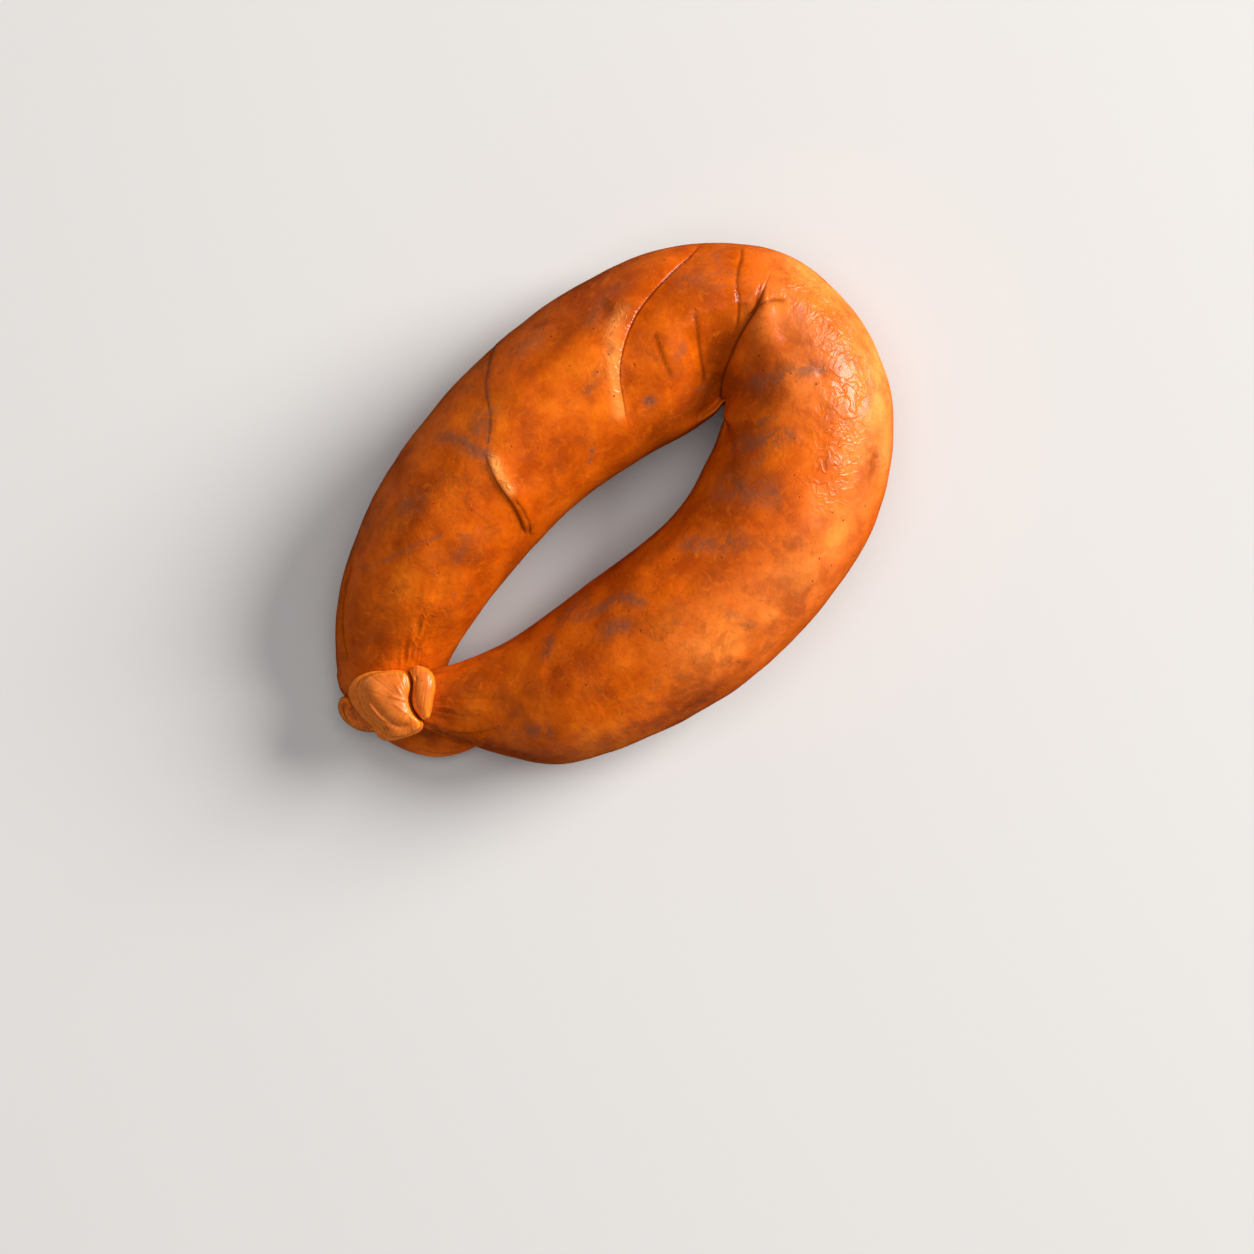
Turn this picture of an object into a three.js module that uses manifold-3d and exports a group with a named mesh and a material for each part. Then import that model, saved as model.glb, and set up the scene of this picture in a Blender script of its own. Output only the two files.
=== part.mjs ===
// A smoked sausage bent into a horseshoe, its two casing ends knotted together over the closed end.
// Units are millimetres, +Z is up, and the origin is the centre of the footprint on the surface it lies on.
import * as THREE from "three";
import { mergeVertices } from "three/addons/utils/BufferGeometryUtils.js";
import Module from "manifold-3d";

const wasm = await Module();
wasm.setup();

// Driving dimensions
const clearance = 0.35; // gap left between neighbouring pieces
const press = -0.8; // how far the round underside would reach below the surface before its weight flattens it
const bodySides = 32; // facets round the filled casing
const bodyRings = 76; // rings along the filled casing
const tailSides = 16; // facets round a casing end
const tailRings = 20; // rings along a casing end
const lobeSides = 24; // facets round the big lobe
const lobeRings = 14; // rings from the top of the big lobe to its underside
const weld = 1e-4; // vertices closer than this are one

// Stations along the filled casing, from the end tucked under the knot, round the bend, to the end drawn over it.
// Each is: inner edge x, y, outer edge x, y, underside z, crown z.
const bodyStations = [
  [-63.0, -20.5, -63.5, -21.5, 3.5, 4.5],
  [-61.5, -12.0, -73.5, -16.5, 0.6, 8.6],
  [-59.5, -4.5, -79.5, -4.0, press, 11.0],
  [-55.5, -2.0, -79.0, 10.5, press, 17.5],
  [-46.5, 0.5, -63.5, 28.0, press, 27.5],
  [-30.5, 3.5, -38.5, 40.5, press, 35.0],
  [-7.0, 5.0, -7.5, 46.5, press, 39.0],
  [15.0, 2.5, 24.5, 45.0, press, 40.0],
  [26.5, -0.5, 47.0, 38.5, press, 40.0],
  [33.0, -1.0, 63.5, 26.5, press, 39.0],
  [35.5, -0.5, 71.5, 15.5, press, 38.0],
  [36.5, -1.0, 74.0, 1.5, press, 38.0],
  [35.5, -2.0, 72.5, -12.0, press, 38.5],
  [32.0, -3.5, 63.0, -31.0, press, 39.5],
  [25.0, -7.0, 45.0, -45.0, press, 40.0],
  [9.5, -12.0, 15.0, -53.5, press, 40.0],
  [-12.0, -11.0, -17.5, -51.5, press, 38.5],
  [-34.0, -9.0, -48.5, -40.0, press, 32.0],
  [-43.5, -7.0, -59.0, -29.0, 1.0, 26.0],
  [-52.0, -4.0, -64.5, -20.0, 5.5, 22.5],
  [-58.0, -1.5, -68.0, -13.5, 10.0, 20.3],
  [-62.5, -1.0, -69.5, -8.5, 12.0, 19.0],
  [-67.0, -3.0, -67.5, -3.5, 15.0, 16.0],
];

// The casing end that wraps over the drawn-up end, dives under the big lobe and shows again outside it.
const underTailStations = [
  [-59.5, -2.0, -64.5, -9.0, 17.5, 18.5],
  [-60.0, 0.0, -67.0, -9.5, 18.0, 23.5],
  [-61.0, 1.5, -68.5, -9.0, 19.0, 25.0],
  [-66.0, 3.0, -71.5, -5.5, 14.5, 19.5],
  [-73.0, 5.5, -76.5, -2.0, 10.0, 16.0],
  [-79.0, 8.5, -82.0, -0.5, 5.5, 13.5],
  [-81.8, 9.0, -84.2, 2.0, 6.0, 12.5],
  [-83.8, 6.0, -84.2, 5.0, 8.5, 9.5],
];

// The big folded lobe: a dome, wider towards the bend, resting on the casing.
const lobe = {
  centre: [-72.5, 0.8],
  underside: 11.0,
  crown: 24.0,
  halfLength: 9.2, // across the two ends
  halfWidth: 8.4,
  turn: THREE.MathUtils.degToRad(-42),
  square: 2.6, // 2 is an ellipse, more is squarer
  taper: 0.16, // how much narrower the outer side is
  tilt: 0.22, // how far the crown drops per millimetre towards the outside
};

function edgeCurve(stations, read) {
  return new THREE.CatmullRomCurve3(stations.map((s) => new THREE.Vector3(...read(s))));
}

// A closed tube whose cross-section spans the two plan edges of each station and its underside and crown.
// It starts as a sphere: longitude runs round the section and latitude runs along the stations.
function sweep(stations, sides, rings, grow = 0) {
  const inner = edgeCurve(stations, ([x, y, , , low]) => [x, y, low]);
  const outer = edgeCurve(stations, ([, , x, y, , high]) => [x, y, high]);
  const shape = new THREE.SphereGeometry(1, sides, rings);
  const position = shape.getAttribute("position");
  for (let row = 0; row <= rings; row++) {
    const a = inner.getPoint(row / rings);
    const b = outer.getPoint(row / rings);
    const half = Math.hypot(b.x - a.x, b.y - a.y) / 2;
    const stretch = (half + grow) / half;
    const cap = row === 0 || row === rings ? 0 : 1; // the end rows close to a point
    for (let side = 0; side <= sides; side++) {
      const angle = (side / sides) * 2 * Math.PI;
      const across = (Math.cos(angle) * stretch * cap) / 2;
      const up = Math.sin(angle) * ((b.z - a.z) / 2 + grow) * cap;
      const x = (a.x + b.x) / 2 + (a.x - b.x) * across;
      const y = (a.y + b.y) / 2 + (a.y - b.y) * across;
      const z = Math.max((a.z + b.z) / 2 + up, -grow);
      position.setXYZ(row * (sides + 1) + side, x, y, z);
    }
  }
  return shape;
}

// The big lobe, as a sphere pressed into a rounded, tapering pad.
function lobeShape({ centre, underside, crown, halfLength, halfWidth, turn, square, taper, tilt }) {
  const shape = new THREE.SphereGeometry(1, lobeSides, lobeRings);
  shape.rotateX(Math.PI / 2); // poles up and down
  const position = shape.getAttribute("position");
  const point = new THREE.Vector3();
  for (let i = 0; i < position.count; i++) {
    point.fromBufferAttribute(position, i);
    const flat = Math.hypot(point.x, point.y) || 1;
    const c = Math.abs(point.x / flat);
    const s = Math.abs(point.y / flat);
    const squareness = 1 / (c ** square + s ** square) ** (1 / square);
    const along = point.x * squareness * halfLength;
    const across = point.y * squareness * halfWidth * (1 + (taper * along) / halfLength);
    const height = (underside + crown) / 2 + (point.z * (crown - underside)) / 2 + tilt * along;
    position.setXYZ(i, along, across, height);
  }
  shape.rotateZ(turn);
  shape.translate(centre[0], centre[1], 0);
  return shape;
}

// A mesh geometry as a manifold-3d solid, and back.
function toSolid(geometry) {
  const bare = geometry.clone();
  bare.deleteAttribute("normal");
  bare.deleteAttribute("uv");
  const merged = mergeVertices(bare, weld);
  const vertProperties = merged.getAttribute("position").array;
  const triVerts = new Uint32Array(merged.index.array);
  return new wasm.Manifold(new wasm.Mesh({ numProp: 3, vertProperties, triVerts }));
}

function toGeometry(solid) {
  const { vertProperties, triVerts } = solid.getMesh();
  const geometry = new THREE.BufferGeometry();
  geometry.setAttribute("position", new THREE.BufferAttribute(vertProperties, 3));
  geometry.setIndex(new THREE.BufferAttribute(triVerts, 1));
  geometry.computeVertexNormals();
  return geometry;
}

// The largest body left after cutting, without the slivers a cut can leave.
function largest(solid) {
  return solid.decompose().sort((a, b) => b.volume() - a.volume())[0];
}

function casingMaterial(colour, roughness) {
  return new THREE.MeshStandardMaterial({ color: colour, roughness, metalness: 0 });
}

function makeBody() {
  const geometry = sweep(bodyStations, bodySides, bodyRings);
  const mesh = new THREE.Mesh(geometry, casingMaterial(0xb5571a, 0.42));
  mesh.name = "sausage_body";
  return mesh;
}

function makeUnderTail() {
  const strap = toSolid(sweep(underTailStations, tailSides, tailRings));
  const body = toSolid(sweep(bodyStations, bodySides, bodyRings, clearance));
  const mesh = new THREE.Mesh(toGeometry(largest(strap.subtract(body))), casingMaterial(0xc9783c, 0.4));
  mesh.name = "casing_tail_under";
  return mesh;
}

function makeOverTail() {
  const pad = toSolid(lobeShape(lobe));
  const body = toSolid(sweep(bodyStations, bodySides, bodyRings, clearance));
  const strap = toSolid(sweep(underTailStations, tailSides, tailRings, clearance));
  const cut = largest(pad.subtract(body).subtract(strap));
  const mesh = new THREE.Mesh(toGeometry(cut), casingMaterial(0xc9783c, 0.4));
  mesh.name = "casing_tail_over";
  return mesh;
}

// Everything together, moved so that the footprint is centred on the origin.
function makeSausage() {
  const sausage = new THREE.Group();
  sausage.add(makeBody(), makeUnderTail(), makeOverTail());
  const middle = new THREE.Box3().setFromObject(sausage).getCenter(new THREE.Vector3());
  sausage.position.set(-middle.x, -middle.y, 0);
  return sausage;
}

export default makeSausage();
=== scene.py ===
import math

import bmesh
import bpy
import numpy as np
from mathutils import Matrix, Vector, noise


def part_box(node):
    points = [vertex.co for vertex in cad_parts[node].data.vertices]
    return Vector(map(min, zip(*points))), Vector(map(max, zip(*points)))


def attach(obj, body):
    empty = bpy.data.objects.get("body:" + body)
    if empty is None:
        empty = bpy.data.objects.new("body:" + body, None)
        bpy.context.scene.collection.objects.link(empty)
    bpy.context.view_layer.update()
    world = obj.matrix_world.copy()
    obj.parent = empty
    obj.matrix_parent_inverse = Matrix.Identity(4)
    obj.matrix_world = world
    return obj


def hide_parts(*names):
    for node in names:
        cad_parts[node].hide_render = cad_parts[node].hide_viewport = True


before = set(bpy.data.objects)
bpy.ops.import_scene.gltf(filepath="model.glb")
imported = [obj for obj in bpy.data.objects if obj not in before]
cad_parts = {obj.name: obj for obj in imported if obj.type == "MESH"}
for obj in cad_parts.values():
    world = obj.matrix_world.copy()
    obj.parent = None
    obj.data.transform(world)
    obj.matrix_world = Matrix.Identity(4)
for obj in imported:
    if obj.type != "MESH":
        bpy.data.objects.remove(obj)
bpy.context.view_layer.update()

mm = 0.001  # every shape below is worked out in millimetres
tiny = 1e-9  # keeps a division from having nothing under it
print("frame loaded, nodes:", sorted(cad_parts))

# the sausage lies with its +X axis 42 degrees above the camera's right hand
view = {
    "turn": -42,  # azimuth of the camera, degrees
    "height": 88,  # elevation, degrees
    "aim": (-12.2, -21.1, 20),  # what the camera looks at, mm
    "distance": 720,  # mm
    "lens": 86.4,
    "sensor": 36,
}
light = {
    "keySide": 24,  # degrees up from the camera's right hand
    "keyHeight": 28,  # degrees above the floor
    "keySize": 1.9,  # m
    "keyDistance": 3.2,  # m
    "keyPower": 226,  # watts
    "keyColour": (1.0, 0.97, 0.93),
    "topSize": 1.6,  # m, a soft square overhead
    "topHeight": 2.0,  # m
    "topPower": 25,
    "topColour": (1.0, 0.98, 0.96),
    "skyColour": (0.96, 0.97, 1.0),
    "skyStrength": 0.16,
    "aim": (0, 0, 20),  # what the lamps point at, mm
}
floorFinish = {
    "colour": (0.495, 0.488, 0.485),
    "roughness": 0.85,
    "reach": 6,  # m each way
    "below": 0.2,  # mm under the casing, so that the two never share a plane
}


def lookDirection(side, height):
    a, e = math.radians(side), math.radians(height)
    return Vector((math.sin(a) * math.cos(e), -math.cos(a) * math.cos(e), math.sin(e)))


def aimAt(thing, place, target, upwards):
    back = (place - target).normalized()
    right = upwards.cross(back).normalized()
    above = back.cross(right)
    turned = Matrix((right, above, back)).transposed().to_4x4()
    thing.matrix_world = Matrix.Translation(place) @ turned


def makeCamera():
    data = bpy.data.cameras.new("camera")
    data.lens = view["lens"]
    data.sensor_width = view["sensor"]
    data.clip_start = 10 * mm
    camera = bpy.data.objects.new("camera", data)
    bpy.context.scene.collection.objects.link(camera)
    target = Vector(view["aim"]) * mm
    place = target + lookDirection(view["turn"], view["height"]) * view["distance"] * mm
    aimAt(camera, place, target, Vector((0, 0, 1)))
    bpy.context.scene.camera = camera


def makeSoftLight(name, shape, size, power, colour, place):
    data = bpy.data.lights.new(name, "AREA")
    data.shape = shape
    data.size = size
    data.energy = power
    data.color = colour
    lamp = bpy.data.objects.new(name, data)
    bpy.context.scene.collection.objects.link(lamp)
    nearlyUp = Vector((0, 0.001, 1)).normalized()  # a lamp straight overhead still gets a right hand
    aimAt(lamp, place, Vector(light["aim"]) * mm, nearlyUp)
    return lamp


def makeLights():
    turn = math.radians(view["turn"])
    rightHand = Vector((math.cos(turn), math.sin(turn), 0))
    upHand = Vector((-math.sin(turn), math.cos(turn), 0))
    side, height = math.radians(light["keySide"]), math.radians(light["keyHeight"])
    flat = rightHand * math.cos(side) + upHand * math.sin(side)
    towards = flat * math.cos(height) + Vector((0, 0, math.sin(height)))
    makeSoftLight("key", "DISK", light["keySize"], light["keyPower"], light["keyColour"],
                  towards * light["keyDistance"])
    top = makeSoftLight("overhead", "SQUARE", light["topSize"], light["topPower"], light["topColour"],
                        Vector((0.01, 0, light["topHeight"])))
    top.visible_glossy = False
    world = bpy.data.worlds.new("studio")
    world.use_nodes = True
    sky = world.node_tree.nodes["Background"]
    sky.inputs["Color"].default_value = (*light["skyColour"], 1)
    sky.inputs["Strength"].default_value = light["skyStrength"]
    bpy.context.scene.world = world
    world.cycles_visibility.glossy = False  # only the key light shines on the casing


def makeFloor():
    bm = bmesh.new()
    bmesh.ops.create_grid(bm, x_segments=1, y_segments=1, size=floorFinish["reach"])
    bmesh.ops.translate(bm, verts=bm.verts, vec=(0, 0, -floorFinish["below"] * mm))
    mesh = bpy.data.meshes.new("floor")
    bm.to_mesh(mesh)
    bm.free()
    floor = bpy.data.objects.new("floor", mesh)
    bpy.context.scene.collection.objects.link(floor)
    material = bpy.data.materials.new("floor_plaster")
    material.use_nodes = True
    surface = material.node_tree.nodes["Principled BSDF"]
    surface.inputs["Base Color"].default_value = (*floorFinish["colour"], 1)
    surface.inputs["Roughness"].default_value = floorFinish["roughness"]
    mesh.materials.append(material)
    floor.visible_glossy = False


makeCamera()
makeLights()
makeFloor()
bpy.context.scene.view_settings.view_transform = "Standard"
print("stage ready")


def smoothCurve(points, count):  # a curve through the points, eased by the root of their spacing
    p = np.array(points, float)
    p = np.vstack([2 * p[0] - p[1], p, 2 * p[-1] - p[-2]])
    gap = np.sqrt(np.linalg.norm(np.diff(p, axis=0), axis=1))
    rows = []
    for share in np.linspace(0, len(points) - 1, count):
        i = min(int(share), len(points) - 2)
        u = share - i
        before, here, after = gap[i : i + 3]
        a, b, c, d = p[i : i + 4]
        lean = ((b - a) / before - (c - a) / (before + here) + (c - b) / here) * here
        nextLean = ((c - b) / here - (d - b) / (here + after) + (d - c) / after) * here
        rows.append(
            b * (2 * u**3 - 3 * u**2 + 1) + lean * (u**3 - 2 * u**2 + u)
            + c * (3 * u**2 - 2 * u**3) + nextLean * (u**3 - u**2)
        )
    return np.array(rows)


def ease(x, low, high):  # 0 below low, 1 above high, smooth between
    t = np.clip((x - low) / (high - low), 0, 1)
    return t * t * (3 - 2 * t)


def field(points, size, seed):  # smooth noise, -1 to 1, with features about size mm across
    shift = Vector([seed * step for step in (17.3, 9.1, 5.7)])  # each seed reads its own part of the noise
    return np.array([noise.noise(Vector(p) / size + shift) for p in points])


def coordinates(mesh):
    co = np.empty(len(mesh.vertices) * 3)
    mesh.vertices.foreach_get("co", co)
    return co.reshape(-1, 3)


def normals(mesh):
    no = np.empty(len(mesh.vertices) * 3)
    mesh.vertex_normals.foreach_get("vector", no)
    return no.reshape(-1, 3)


def moveTo(mesh, co):
    mesh.vertices.foreach_set("co", np.ascontiguousarray(co, float).ravel())
    mesh.update()


def alongPath(points, path):  # distance from a path, side of it (+ is left of travel), share along it
    best = np.full(len(points), np.inf)
    side = np.zeros(len(points))
    share = np.zeros(len(points))
    left = np.zeros((len(points), 3))
    run = np.concatenate([[0], np.cumsum(np.linalg.norm(np.diff(path, axis=0), axis=1))])
    for i in range(len(path) - 1):
        step = path[i + 1] - path[i]
        t = np.clip((points - path[i]) @ step / max(step @ step, tiny), 0, 1)
        off = points - (path[i] + t[:, None] * step)
        gap = np.linalg.norm(off, axis=1)
        near = gap < best
        best = np.where(near, gap, best)
        side = np.where(near, np.sign(step[0] * off[:, 1] - step[1] * off[:, 0]), side)
        share = np.where(near, (run[i] + t * (run[i + 1] - run[i])) / run[-1], share)
        left[near] = np.array([-step[1], step[0], 0]) / max(np.hypot(step[0], step[1]), tiny)
    return best, side, share, left


def closeTo(points, path, reach):  # the points inside the path's box and a margin round it
    low, high = path.min(0) - reach, path.max(0) + reach
    return np.nonzero(((points > low) & (points < high)).all(1))[0]


def setAttribute(mesh, name, values):
    layer = mesh.attributes.new(name, "FLOAT", "POINT")
    layer.data.foreach_set("value", np.ascontiguousarray(values, np.float32))


meanRadius = 20  # mm, turns an angle round the casing into a distance
strandUnit = 100  # mm to one unit of the casing's own map


def setStrand(mesh, along, around):  # the casing's own map: the way along it, and round it from its crown
    layer = mesh.uv_layers.new(name="strand")
    corner = np.empty(len(mesh.loops), np.int64)
    mesh.loops.foreach_get("vertex_index", corner)
    first = np.empty(len(mesh.polygons), np.int64)
    mesh.polygons.foreach_get("loop_start", first)
    count = np.empty(len(mesh.polygons), np.int64)
    mesh.polygons.foreach_get("loop_total", count)
    turn = around[corner]
    for k in range(4):  # faces over the seam underneath are unwrapped past half a turn
        pick = first + np.minimum(k, count - 1)
        apart = turn[pick] - turn[first]
        turn[pick] -= 2 * math.pi * np.round(apart / (2 * math.pi))
    uv = np.stack([along[corner], turn * meanRadius], 1) / strandUnit
    layer.data.foreach_set("uv", np.ascontiguousarray(uv, np.float32).ravel())


def finishPiece(mesh, name, replaced, material):
    mesh.materials.append(material)
    mesh.polygons.foreach_set("use_smooth", [True] * len(mesh.polygons))
    piece = bpy.data.objects.new(name, mesh)
    bpy.context.scene.collection.objects.link(piece)
    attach(piece, "root")
    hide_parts(replaced)
    print(name, "ready,", len(mesh.polygons), "faces")


smokedFinish = {
    "deep": (0.34, 0.046, 0.0008),
    "middle": (0.50, 0.080, 0.0012),
    "pale": (0.68, 0.140, 0.004),
    "smoked": (0.20, 0.026, 0.0008),  # smoke patches and painted shade
    "stretchedAndLit": (0.84, 0.31, 0.07),  # pale where stretching thins the casing, and painted highlight where the light falls on the bend
    "stain": (0.25, 0.046, 0.004),  # brown smoke stain
    "smudgeAndGlow": (0.17, 0.060, 0.030),  # grey-purple smudges and veins
    "pit": (0.07, 0.014, 0.002),
    "line": (0.10, 0.014, 0.001),  # painted shade in the creases
    "roughness": (0.30, 0.42),
    "specular": 0.2,
    "scatter": 0.08,
    "stainAmount": 0.38,
    "grain": 0.26,  # depth of the fine relief, mm
    "pits": {"spacing": 4.4, "size": 0.27},  # mm
}
knotFinish = {
    "deep": (0.45, 0.080, 0.006),
    "middle": (0.57, 0.130, 0.014),
    "pale": (0.70, 0.20, 0.032),
    # smoke patches, and painted shade on the lowest lobe
    "smoked": (0.30, 0.045, 0.003),
    "stretchedAndLit": (0.80, 0.30, 0.08),
    "stain": (0.30, 0.05, 0.004),
    "smudgeAndGlow": (0.90, 0.25, 0.008),  # painted glow on narrow rims and steep flanks, as if light came through them
    "pit": (0.12, 0.025, 0.006),
    # painted shade in the folds of the knot
    "line": (0.22, 0.035, 0.003),
    "roughness": (0.28, 0.40),
    "specular": 0.45,
    "scatter": 0.16,
    "stainAmount": 0.1,
    "grain": 0.1,
    "pits": {"spacing": 4.0, "size": 0.2},
}
# the patterns in both finishes: their size, the noise values between which they come in, and their strength
patternSize = {  # mm
    "cloud": 8,
    "broad": 24,
    "patch": 4,
    "stain": 10,
    "fleck": 2.4,
    "streak": 1.1,  # across the casing
    "ragged": 2.6,
    "stray": 11,
    "sheen": 5,
    "grain": 1.0,
    "ripple": 2.8,
    "worm": 3.4,
}
patternBand = {
    "middle": (0.36, 0.52),
    "pale": (0.50, 0.70),
    "thinAndLit": (0.30, 0.62),
    "patch": (0.30, 0.60),
    "stain": (0.53, 0.62),
    "darkFleck": (0.52, 0.70),
    "paleFleck": (0.48, 0.30),  # the other way round: where the noise is low
    "streak": (0.50, 0.74),
    "ragged": (0.37, 0.53),
    "stray": (0.63, 0.72),
    "pit": (0.55, 1.1),  # a pit's own chance value, below which there is none
    "sheen": (0.35, 0.65),
    "worm": (0.0, 0.10),
}
patternShow = {
    "thinAndLit": (0.45, 1.0),
    "patch": (0.55, 1.0),
    "darkFleck": (0, 0.34),
    "paleFleck": (0, 0.30),
    "streak": (0, 0.09),
    "stray": (0, 0.5),
    "smudgeAndGlow": 0.8,
    "crease": 0.85,
    "pit": 0.8,
    "moist": 0.2,  # how much smoother the moist places are
}
reliefShare = {  # of the finish's grain
    "grain": 0.3,
    "ripple": 0.6,
    "streak": 0.06,
    "drawnStreak": 0.4,  # more where the casing is drawn together
    "worm": 0.5,
    "pit": 0.4,
}
scatterColour = (1.0, 0.28, 0.08)
scatterDepth = 2.2  # mm


def addNode(tree, kind, values=None, links=None, **settings):
    node = tree.nodes.new(kind)
    for name, value in settings.items():
        setattr(node, name, value)
    for name, value in (values or {}).items():
        node.inputs[name].default_value = value
    for name, source in (links or {}).items():
        tree.links.new(source, node.inputs[name])
    return node


def clouds(tree, vector, size, detail=3, distortion=0.0, roughness=0.5):  # size in mm
    values = {"Scale": 1 / size, "Detail": detail, "Roughness": roughness, "Distortion": distortion}
    return addNode(tree, "ShaderNodeTexNoise", values, {"Vector": vector}).outputs["Fac"]


def remap(tree, source, low, high, out=(0.0, 1.0)):
    values = {"From Min": low, "From Max": high, "To Min": out[0], "To Max": out[1]}
    node = addNode(tree, "ShaderNodeMapRange", values, {"Value": source}, interpolation_type="SMOOTHSTEP")
    return node.outputs["Result"]


def combine(tree, operation, *sources):
    node = addNode(tree, "ShaderNodeMath", operation=operation)
    for socket, source in zip(node.inputs, sources):
        if isinstance(source, (int, float)):
            socket.default_value = source
        else:
            tree.links.new(source, socket)
    return node.outputs[0]


def tint(tree, amount, under, over):
    node = addNode(tree, "ShaderNodeMix", data_type="RGBA")
    for socket, source in ((node.inputs[0], amount), (node.inputs[6], under), (node.inputs[7], over)):
        if isinstance(source, tuple):
            socket.default_value = (*source, 1)
        elif isinstance(source, float):
            socket.default_value = source
        else:
            tree.links.new(source, socket)
    return node.outputs[2]


def scaled(tree, vector, x, y, z):
    node = addNode(tree, "ShaderNodeVectorMath", operation="MULTIPLY")
    tree.links.new(vector, node.inputs[0])
    node.inputs[1].default_value = (x, y, z)
    return node.outputs[0]


def readAttribute(tree, name):
    return addNode(tree, "ShaderNodeAttribute", attribute_name=name).outputs["Fac"]


def casingMaterial(name, finish):
    material = bpy.data.materials.new(name)
    material.use_nodes = True
    tree = material.node_tree
    skin = tree.nodes["Principled BSDF"]
    spot = addNode(tree, "ShaderNodeTexCoord").outputs["Object"]
    place = scaled(tree, spot, 1 / mm, 1 / mm, 1 / mm)
    ownMap = addNode(tree, "ShaderNodeUVMap", uv_map="strand").outputs["UV"]
    strand = scaled(tree, ownMap, strandUnit, strandUnit, strandUnit)

    # cloudy orange, from deep to pale
    cloud = clouds(tree, place, patternSize["cloud"], detail=4, distortion=0.2, roughness=0.55)
    broad = clouds(tree, place, patternSize["broad"], detail=2, distortion=0.2)
    level = combine(tree, "MULTIPLY", combine(tree, "ADD", cloud, broad), 0.5)
    colour = tint(tree, remap(tree, level, *patternBand["middle"]), finish["deep"], finish["middle"])
    colour = tint(tree, remap(tree, level, *patternBand["pale"]), colour, finish["pale"])
    # pale where stretching thins the casing, and painted highlight on the lit bend and crease lips
    uneven = remap(tree, cloud, *patternBand["thinAndLit"], patternShow["thinAndLit"])
    thinAndLit = combine(tree, "MULTIPLY", readAttribute(tree, "stretchedAndLit"), uneven)
    colour = tint(tree, thinAndLit, colour, finish["stretchedAndLit"])
    # broad brown smoke patches, and painted shade deep in the bend and by the knot
    blotch = clouds(tree, place, patternSize["patch"], detail=4, distortion=0.8)
    uneven = remap(tree, blotch, *patternBand["patch"], patternShow["patch"])
    patchy = combine(tree, "MULTIPLY", readAttribute(tree, "smoked"), uneven)
    colour = tint(tree, patchy, colour, finish["smoked"])
    # brown smoke stains with ragged edges, and flecks
    smoke = clouds(tree, place, patternSize["stain"], detail=6, distortion=0.4, roughness=0.62)
    stain = remap(tree, smoke, *patternBand["stain"], (0, finish["stainAmount"]))
    colour = tint(tree, stain, colour, finish["stain"])
    fleck = clouds(tree, place, patternSize["fleck"], detail=5, distortion=0.8, roughness=0.6)
    darkFleck = remap(tree, fleck, *patternBand["darkFleck"], patternShow["darkFleck"])
    colour = tint(tree, darkFleck, colour, finish["stain"])
    paleFleck = remap(tree, fleck, *patternBand["paleFleck"], patternShow["paleFleck"])
    colour = tint(tree, paleFleck, colour, finish["pale"])
    # thin streaks drawn out along the casing
    drawnOut = scaled(tree, strand, 0.09, 1.0, 1.0)  # eleven times as long as wide
    streak = clouds(tree, drawnOut, patternSize["streak"], detail=4, distortion=0.8, roughness=0.6)
    drawnStreak = remap(tree, streak, *patternBand["streak"], patternShow["streak"])
    colour = tint(tree, drawnStreak, colour, finish["stain"])
    # grey-purple smudges, broken up by finer noise, where they were laid and here and there elsewhere
    ragged = clouds(tree, place, patternSize["ragged"], detail=5, distortion=1.2, roughness=0.66)
    stray = clouds(tree, place, patternSize["stray"], detail=3, distortion=0.6)
    stray = remap(tree, stray, *patternBand["stray"], patternShow["stray"])
    # on the folded ends this attribute carries a painted glow on rims and flanks
    marks = combine(tree, "MAXIMUM", readAttribute(tree, "smudgeAndGlow"), stray)
    marks = combine(tree, "MULTIPLY", marks, remap(tree, ragged, *patternBand["ragged"]))
    colour = tint(tree, combine(tree, "MULTIPLY", marks, patternShow["smudgeAndGlow"]), colour, finish["smudgeAndGlow"])
    # painted shade: lines in the creases and the fold
    crease = combine(tree, "MULTIPLY", readAttribute(tree, "crease"), patternShow["crease"])
    colour = tint(tree, crease, colour, finish["line"])
    # little pits in the casing, each with its own size
    spacing = finish["pits"]["spacing"]
    largest = finish["pits"]["size"] / spacing
    cells = addNode(tree, "ShaderNodeTexVoronoi", {"Scale": 1 / spacing, "Randomness": 1.0},
                    {"Vector": strand}, voronoi_dimensions="2D")
    chance = addNode(tree, "ShaderNodeSeparateColor", links={"Color": cells.outputs["Color"]})
    reach = remap(tree, chance.outputs[0], *patternBand["pit"], (0.0, largest))
    hole = combine(tree, "SUBTRACT", reach, cells.outputs["Distance"])
    pit = remap(tree, hole, 0.0, 0.25 * largest)  # its wall takes up a quarter of it
    colour = tint(tree, combine(tree, "MULTIPLY", pit, patternShow["pit"]), colour, finish["pit"])
    tree.links.new(colour, skin.inputs["Base Color"])

    # sheen that comes and goes, and is smoother where the casing is moist
    sheen = clouds(tree, place, patternSize["sheen"], detail=4, distortion=0.4)
    sheen = remap(tree, sheen, *patternBand["sheen"], finish["roughness"])
    moist = combine(tree, "MULTIPLY", readAttribute(tree, "moist"), patternShow["moist"])
    tree.links.new(combine(tree, "SUBTRACT", sheen, moist), skin.inputs["Roughness"])
    skin.inputs["Specular IOR Level"].default_value = finish["specular"]
    skin.inputs["Subsurface Weight"].default_value = finish["scatter"]
    skin.inputs["Subsurface Radius"].default_value = scatterColour
    skin.inputs["Subsurface Scale"].default_value = scatterDepth * mm

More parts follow.
